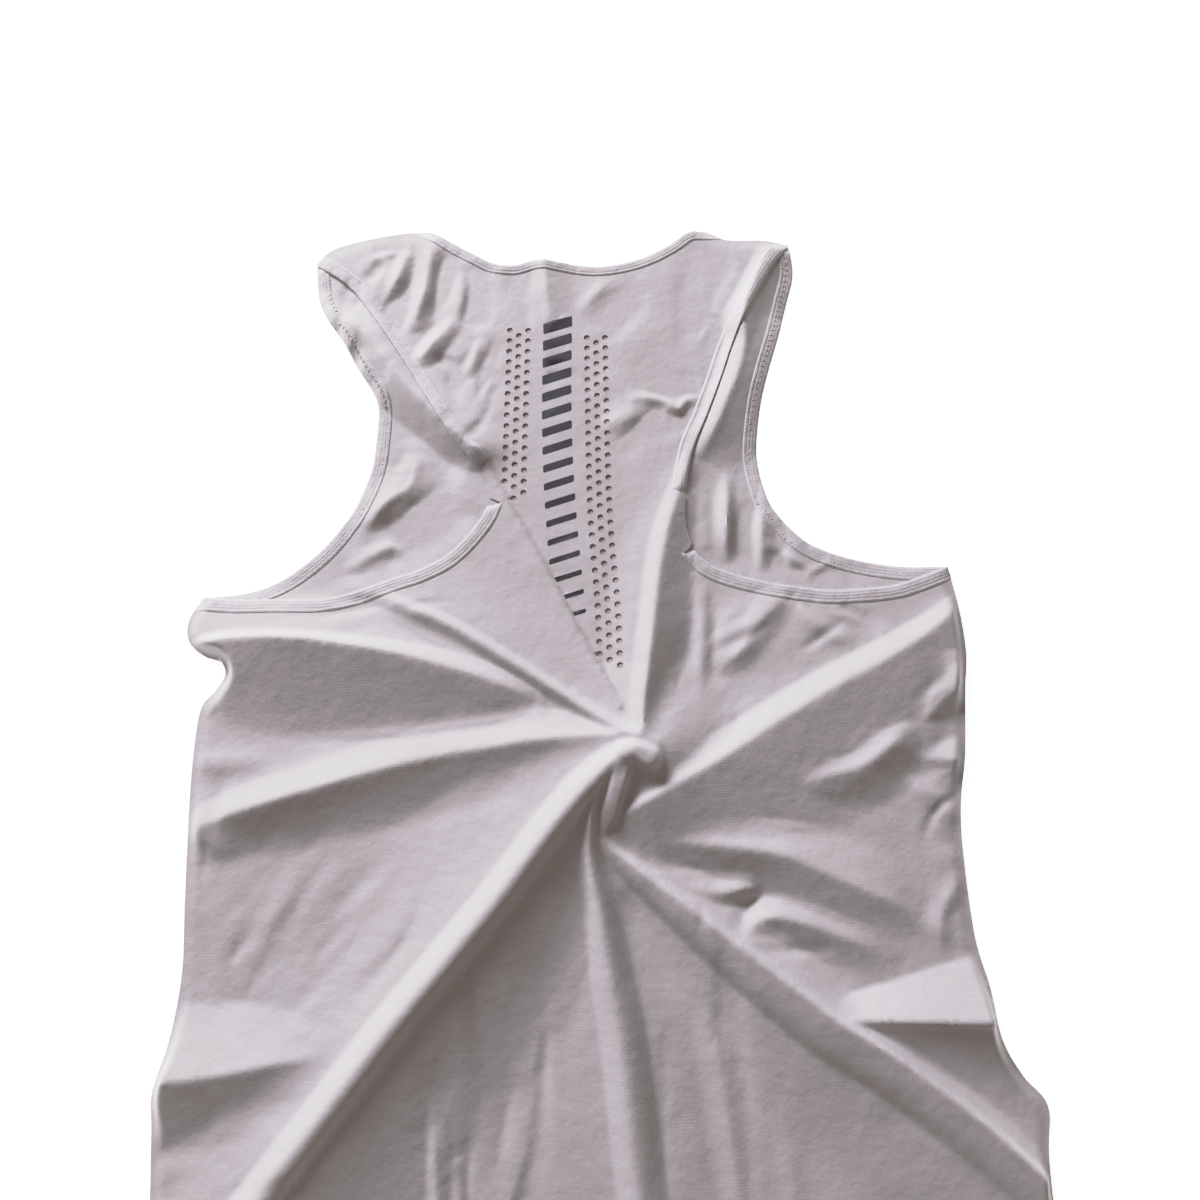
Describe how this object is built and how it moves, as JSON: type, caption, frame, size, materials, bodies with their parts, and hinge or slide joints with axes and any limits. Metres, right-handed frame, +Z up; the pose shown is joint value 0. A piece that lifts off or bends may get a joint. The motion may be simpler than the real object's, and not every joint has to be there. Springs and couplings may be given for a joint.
{
  "type": "running singlet",
  "caption": "Sleeveless running singlet with a racer back and bound edges, laid flat face down, its back twisted into a knot of folds.",
  "frame": {"origin": "bottom centre of the whole garment's box, on the surface that it lies on", "axes": "+Y from the hem towards the neck, +X to the right of the garment as it is seen from above, +Z up from the surface"},
  "size_m": [0.5245, 0.7026, 0.0276],
  "materials": {
    "cloth": "fine white polyester microfibre with a soft sheen",
    "binding": "smooth white folded binding with a coverstitch"
  },
  "bodies": {
    "root": {"front_panel": "cloth", "back_panel": "cloth", "neck_binding_front": "binding", "neck_binding_back": "binding", "armhole_binding_left_front": "binding", "armhole_binding_left_back": "binding", "armhole_binding_right_front": "binding", "armhole_binding_right_back": "binding"}
  },
  "joints": []
}
